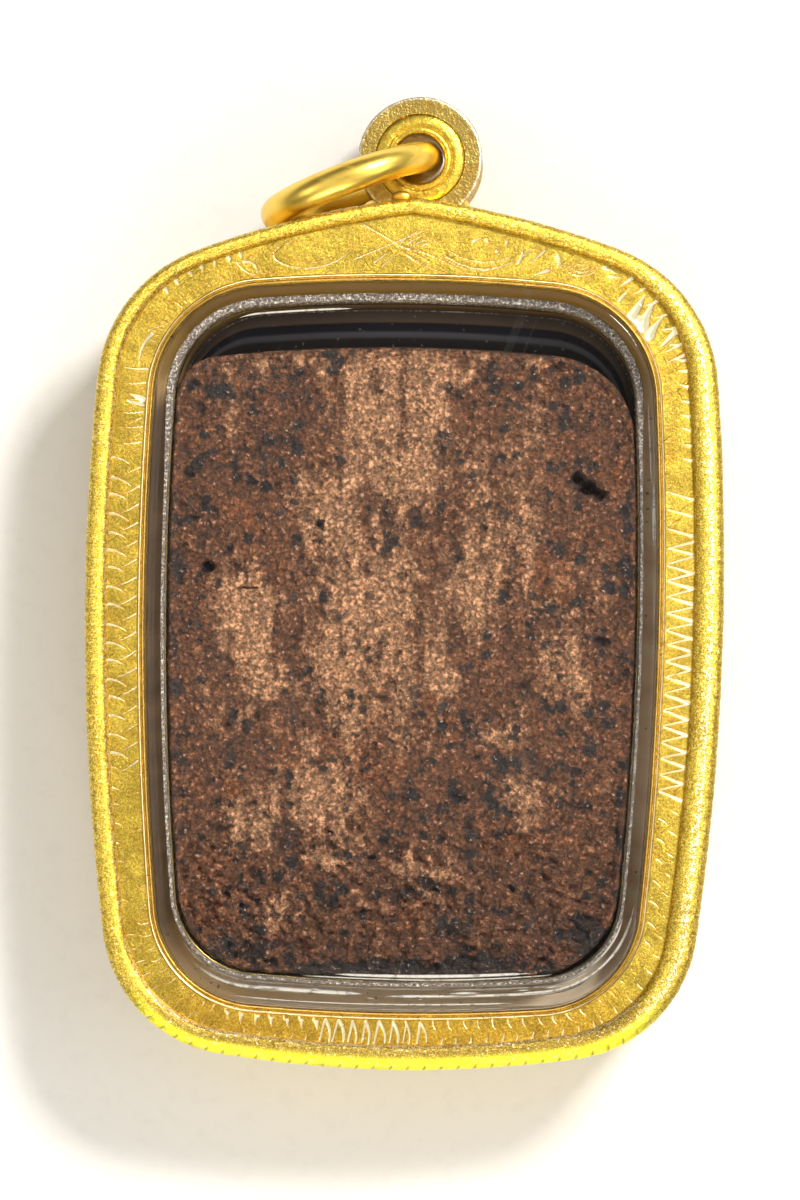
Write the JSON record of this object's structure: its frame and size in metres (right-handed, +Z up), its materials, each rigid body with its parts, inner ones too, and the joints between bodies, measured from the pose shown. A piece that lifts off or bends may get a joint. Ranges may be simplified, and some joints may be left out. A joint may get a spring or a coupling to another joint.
{
  "type": "thai buddha amulet pendant",
  "caption": "Oblong gold frame with rolled bead and engraved border, holding a clay tablet in a clear case, with a hanging loop and jump ring.",
  "frame": {"origin": "middle of the bounding box's underside, on the surface that the pendant lies on", "axes": "+X to the right and +Y towards the hanging loop as seen from the back, +Z up out of the back"},
  "size_m": [0.034, 0.0522, 0.0104],
  "materials": {
    "gold_polished": "polished gold with fine scratches",
    "gold_engraved": "satin gold plate with bright engraved cuts and a frosted rolled bead",
    "clear_acrylic": "clear, polished, with a faint grey tint and frosted seam",
    "fired_clay": "rough, pitted, unglazed brown clay"
  },
  "bodies": {
    "case": {"case_band": "gold_polished", "back_bezel": "gold_engraved", "front_bezel": "gold_engraved", "back_cover": "clear_acrylic", "front_cover": "clear_acrylic", "tablet": "fired_clay"},
    "ring": {"jump_ring": "gold_polished"}
  },
  "joints": [
    {"name": "ring_swing", "type": "hinge", "parent": "case", "child": "ring", "pos_m": [0.00045, 0.02272, 0.0048], "axis": [0, 0, -1], "range_deg": [0, 221]}
  ]
}
